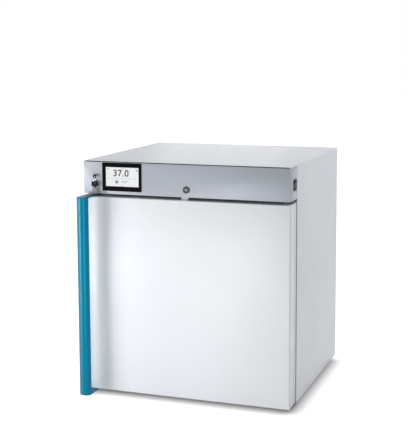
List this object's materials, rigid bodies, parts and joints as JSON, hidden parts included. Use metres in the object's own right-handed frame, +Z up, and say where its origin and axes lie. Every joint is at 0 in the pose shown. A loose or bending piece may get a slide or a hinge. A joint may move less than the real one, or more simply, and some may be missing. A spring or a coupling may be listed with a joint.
{
  "type": "microbiological incubator",
  "caption": "Bench-top incubator: insulated box with a full-front door hinged on the right, vertical tube handle, control fascia with display, cam lock, mains rocker and keys on a peg.",
  "frame": {"origin": "on the bench, under the middle of the whole object's bounding box", "axes": "+X to the right seen from the front, +Y to the back, +Z up; the door faces -Y"},
  "size_m": [0.5636, 0.578, 0.628],
  "materials": {
    "white_coat": "satin powder coat",
    "door_coat": "satin powder coat",
    "grey_coat": "satin silver grey",
    "zinc_sheet": "zinc plated",
    "motor_can": "matt",
    "supply_case": "folded case, mostly hollow",
    "stainless": "satin",
    "polished_steel": "polished",
    "teal_anodised": "satin teal",
    "mineral_wool": "fibrous",
    "black_rubber": "matt",
    "seal_rubber": "matt",
    "silicone": "matt, translucent white",
    "black_plastic": "fine grain",
    "gloss_black": "gloss",
    "nylon": "natural",
    "circuit_board": "solder mask",
    "display_glass": "gloss"
  },
  "bodies": {
    "cabinet": {"housing_wrap": "white_coat", "base_pan": "zinc_sheet", "front_frame": "white_coat", "rear_panel": "zinc_sheet", "inner_chamber": "stainless", "insulation_jacket": "mineral_wool", "jacket_back_sheet": "zinc_sheet", "compartment_floor": "zinc_sheet", "shelf_rail_left": "stainless", "shelf_rail_right": "stainless", "air_baffle": "stainless", "fan_motor": "motor_can", "heater_ring": "stainless", "temperature_sensor": "stainless", "port_sleeve": "stainless", "mains_inlet": "black_plastic", "control_board": "circuit_board", "power_supply": "supply_case", "control_fascia": "grey_coat", "display_bezel": "gloss_black", "display_glass": "display_glass", "display_module": "circuit_board", "lock_housing": "polished_steel", "lock_nut": "zinc_sheet", "key_peg": "black_plastic", "rocker_frame": "black_plastic", "hinge_bracket_top": "zinc_sheet", "hinge_bracket_bottom": "zinc_sheet"},
    "door": {"door_outer_panel": "door_coat", "door_inner_liner": "white_coat", "door_insulation": "mineral_wool", "door_gasket": "seal_rubber", "door_strike": "white_coat", "hinge_bush_top": "nylon", "hinge_bush_bottom": "nylon", "handle_profile": "teal_anodised", "handle_top_plate": "teal_anodised", "handle_bottom_plate": "teal_anodised"},
    "lock": {"lock_plug": "polished_steel", "lock_cam": "zinc_sheet"},
    "rocker": {"rocker_cap": "black_plastic"},
    "fan": {"fan_rotor": "stainless"},
    "shelf_lower": {"wire_shelf_1": "stainless"},
    "shelf_upper": {"wire_shelf_2": "stainless"},
    "plug": {"port_plug": "silicone"},
    "ring": {"key_ring": "polished_steel"},
    "key_front": {"key_front_bow": "black_plastic", "key_front_blade": "polished_steel"},
    "key_rear": {"key_rear_bow": "black_plastic", "key_rear_blade": "polished_steel"},
    "foot_front_left": {"foot_pad_front_left": "black_rubber", "foot_stem_front_left": "zinc_sheet"},
    "foot_front_right": {"foot_pad_front_right": "black_rubber", "foot_stem_front_right": "zinc_sheet"},
    "foot_rear_left": {"foot_pad_rear_left": "black_rubber", "foot_stem_rear_left": "zinc_sheet"},
    "foot_rear_right": {"foot_pad_rear_right": "black_rubber", "foot_stem_rear_right": "zinc_sheet"}
  },
  "joints": [
    {"name": "door_hinge", "type": "hinge", "parent": "cabinet", "child": "door", "pos_m": [0.265, -0.207, 0.27325], "axis": [0, 0, 1], "range_deg": [0, 120]},
    {"name": "lock_turn", "type": "hinge", "parent": "cabinet", "child": "lock", "pos_m": [0.007, -0.2207, 0.5607], "axis": [0, 1, 0], "range_deg": [0, 90]},
    {"name": "rocker_tilt", "type": "hinge", "parent": "cabinet", "child": "rocker", "pos_m": [0.275, -0.195, 0.5795], "axis": [0, 1, 0], "range_deg": [-14, 0]},
    {"name": "fan_spin", "type": "hinge", "parent": "cabinet", "child": "fan", "pos_m": [0, 0.16, 0.27], "axis": [0, 1, 0], "continuous": true},
    {"name": "shelf_lower_slide", "type": "slide", "parent": "cabinet", "child": "shelf_lower", "axis": [0, -1, 0], "range_m": [0, 0.012]},
    {"name": "shelf_upper_slide", "type": "slide", "parent": "cabinet", "child": "shelf_upper", "axis": [0, -1, 0], "range_m": [0, 0.012]},
    {"name": "plug_slide", "type": "slide", "parent": "cabinet", "child": "plug", "axis": [0, 1, 0], "range_m": [0, 0.08]},
    {"name": "ring_swing", "type": "hinge", "parent": "cabinet", "child": "ring", "pos_m": [-0.245, -0.2432, 0.585], "axis": [0, 1, 0], "range_deg": [-20, 20]},
    {"name": "key_front_swing", "type": "hinge", "parent": "ring", "child": "key_front", "pos_m": [-0.245, -0.2432, 0.571], "axis": [0, 1, 0], "range_deg": [-30, 20]},
    {"name": "key_rear_swing", "type": "hinge", "parent": "ring", "child": "key_rear", "pos_m": [-0.245, -0.2432, 0.571], "axis": [0, 1, 0], "range_deg": [-20, 30]},
    {"name": "foot_front_left_turn", "type": "hinge", "parent": "cabinet", "child": "foot_front_left", "pos_m": [-0.22, -0.11, 0.004], "axis": [0, 0, 1], "continuous": true},
    {"name": "foot_front_right_turn", "type": "hinge", "parent": "cabinet", "child": "foot_front_right", "pos_m": [0.22, -0.11, 0.004], "axis": [0, 0, 1], "continuous": true},
    {"name": "foot_rear_left_turn", "type": "hinge", "parent": "cabinet", "child": "foot_rear_left", "pos_m": [-0.22, 0.225, 0.004], "axis": [0, 0, 1], "continuous": true},
    {"name": "foot_rear_right_turn", "type": "hinge", "parent": "cabinet", "child": "foot_rear_right", "pos_m": [0.22, 0.225, 0.004], "axis": [0, 0, 1], "continuous": true}
  ]
}
